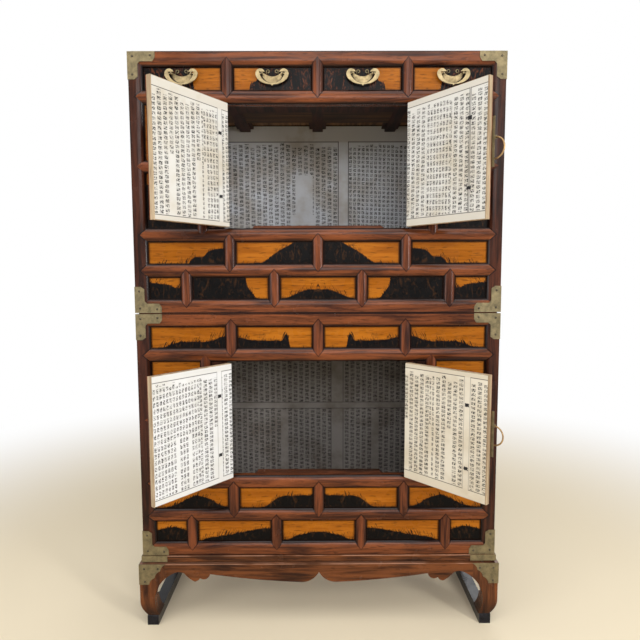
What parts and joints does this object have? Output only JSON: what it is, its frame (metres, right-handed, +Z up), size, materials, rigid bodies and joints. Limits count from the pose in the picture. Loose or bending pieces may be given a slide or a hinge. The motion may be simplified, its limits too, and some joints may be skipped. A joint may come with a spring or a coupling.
{
  "type": "two tier chest",
  "caption": "Clothes chest in stacked tiers of framed panels on a cusped stand with sledge runners, with double doors in each tier and small drawers under the top",
  "frame": {"origin": "middle of the chest's footprint, on the floor", "axes": "+Z up, +X to the right seen from the front, -Y to the front, where the doors open"},
  "size_m": [0.9004, 0.5529, 1.401],
  "materials": {
    "lacquered_frame": "glossy",
    "figured_panel": "glossy",
    "dark_board": "satin",
    "carcass_wood": "satin",
    "inner_wood": "matt",
    "black_runner": "satin",
    "old_brass": "satin",
    "lining_paper": "matt"
  },
  "bodies": {
    "root": {"lower_posts": "lacquered_frame", "lower_front_rails": "lacquered_frame", "lower_front_muntins": "lacquered_frame", "lower_front_panels": "figured_panel", "lower_side_panels": "carcass_wood", "lower_side_and_back_rails": "carcass_wood", "upper_posts": "lacquered_frame", "upper_front_rails": "lacquered_frame", "upper_front_muntins": "lacquered_frame", "upper_front_panels": "figured_panel", "upper_side_panels": "carcass_wood", "upper_side_and_back_rails": "carcass_wood", "back_panels": "carcass_wood", "floor_boards": "inner_wood", "top_boards": "carcass_wood", "hinge_boards": "dark_board", "door_stops": "inner_wood", "corner_brackets": "old_brass", "fixed_hinge_leaves": "old_brass", "hinge_pins": "old_brass", "drawer_runners": "inner_wood", "drawer_guides": "inner_wood", "dust_panels": "inner_wood", "stand_legs": "lacquered_frame", "stand_front_apron": "lacquered_frame", "stand_side_and_back_aprons": "lacquered_frame", "stand_runners": "black_runner", "stand_top_frame": "lacquered_frame", "stand_brass": "old_brass"},
    "lower_left_door": {"lower_left_door_frame": "lacquered_frame", "lower_left_door_panel": "figured_panel", "lower_left_door_brass": "old_brass"},
    "lower_right_door": {"lower_right_door_frame": "lacquered_frame", "lower_right_door_panel": "figured_panel", "lower_right_door_brass": "old_brass"},
    "lower_right_ring": {"lower_right_door_ring": "old_brass"},
    "upper_left_door": {"upper_left_door_frame": "lacquered_frame", "upper_left_door_panel": "figured_panel", "upper_left_door_brass": "old_brass"},
    "upper_right_door": {"upper_right_door_frame": "lacquered_frame", "upper_right_door_panel": "figured_panel", "upper_right_door_brass": "old_brass"},
    "upper_right_ring": {"upper_right_door_ring": "old_brass"},
    "drawer_1": {"drawer_1_front": "figured_panel", "drawer_1_box": "inner_wood", "drawer_1_backplate": "old_brass"},
    "drawer_1_bail": {"drawer_1_bail": "old_brass"},
    "drawer_2": {"drawer_2_front": "figured_panel", "drawer_2_box": "inner_wood", "drawer_2_backplate": "old_brass"},
    "drawer_2_bail": {"drawer_2_bail": "old_brass"},
    "drawer_3": {"drawer_3_front": "figured_panel", "drawer_3_box": "inner_wood", "drawer_3_backplate": "old_brass"},
    "drawer_3_bail": {"drawer_3_bail": "old_brass"},
    "drawer_4": {"drawer_4_front": "figured_panel", "drawer_4_box": "inner_wood", "drawer_4_backplate": "old_brass"},
    "drawer_4_bail": {"drawer_4_bail": "old_brass"}
  },
  "joints": [
    {"name": "lower_left_door_hinge", "type": "hinge", "parent": "root", "child": "lower_left_door", "pos_m": [-0.223, -0.1745, 0.527], "axis": [0, 0, -1], "range_deg": [-130, 38]},
    {"name": "lower_right_door_hinge", "type": "hinge", "parent": "root", "child": "lower_right_door", "pos_m": [0.223, -0.1745, 0.527], "axis": [0, 0, 1], "range_deg": [-132.7, 35.3]},
    {"name": "lower_right_ring_swing", "type": "hinge", "parent": "lower_right_door", "child": "lower_right_ring", "pos_m": [0.3789, -0.33475, 0.5564], "axis": [0.6782, -0.7349, 0], "range_deg": [-4, 160]},
    {"name": "upper_left_door_hinge", "type": "hinge", "parent": "root", "child": "upper_left_door", "pos_m": [-0.223, -0.1745, 1.137], "axis": [0, 0, -1], "range_deg": [-123.4, 44.6]},
    {"name": "upper_right_door_hinge", "type": "hinge", "parent": "root", "child": "upper_right_door", "pos_m": [0.223, -0.1745, 1.137], "axis": [0, 0, 1], "range_deg": [-126.8, 41.2]},
    {"name": "upper_right_ring_swing", "type": "hinge", "parent": "upper_right_door", "child": "upper_right_ring", "pos_m": [0.36161, -0.34993, 1.1604], "axis": [0.599, -0.8007, 0], "range_deg": [-4, 160]},
    {"name": "drawer_1_slide", "type": "slide", "parent": "root", "child": "drawer_1", "axis": [0, -1, 0], "range_m": [0, 0.23]},
    {"name": "drawer_1_bail_swing", "type": "hinge", "parent": "drawer_1", "child": "drawer_1_bail", "pos_m": [-0.31725, -0.1735, 1.349], "axis": [-1, 0, 0], "range_deg": [-10, 45]},
    {"name": "drawer_2_slide", "type": "slide", "parent": "root", "child": "drawer_2", "axis": [0, -1, 0], "range_m": [0, 0.23]},
    {"name": "drawer_2_bail_swing", "type": "hinge", "parent": "drawer_2", "child": "drawer_2_bail", "pos_m": [-0.10575, -0.1735, 1.349], "axis": [-1, 0, 0], "range_deg": [-10, 45]},
    {"name": "drawer_3_slide", "type": "slide", "parent": "root", "child": "drawer_3", "axis": [0, -1, 0], "range_m": [0, 0.23]},
    {"name": "drawer_3_bail_swing", "type": "hinge", "parent": "drawer_3", "child": "drawer_3_bail", "pos_m": [0.10575, -0.1735, 1.349], "axis": [-1, 0, 0], "range_deg": [-10, 45]},
    {"name": "drawer_4_slide", "type": "slide", "parent": "root", "child": "drawer_4", "axis": [0, -1, 0], "range_m": [0, 0.23]},
    {"name": "drawer_4_bail_swing", "type": "hinge", "parent": "drawer_4", "child": "drawer_4_bail", "pos_m": [0.31725, -0.1735, 1.349], "axis": [-1, 0, 0], "range_deg": [-10, 45]}
  ]
}
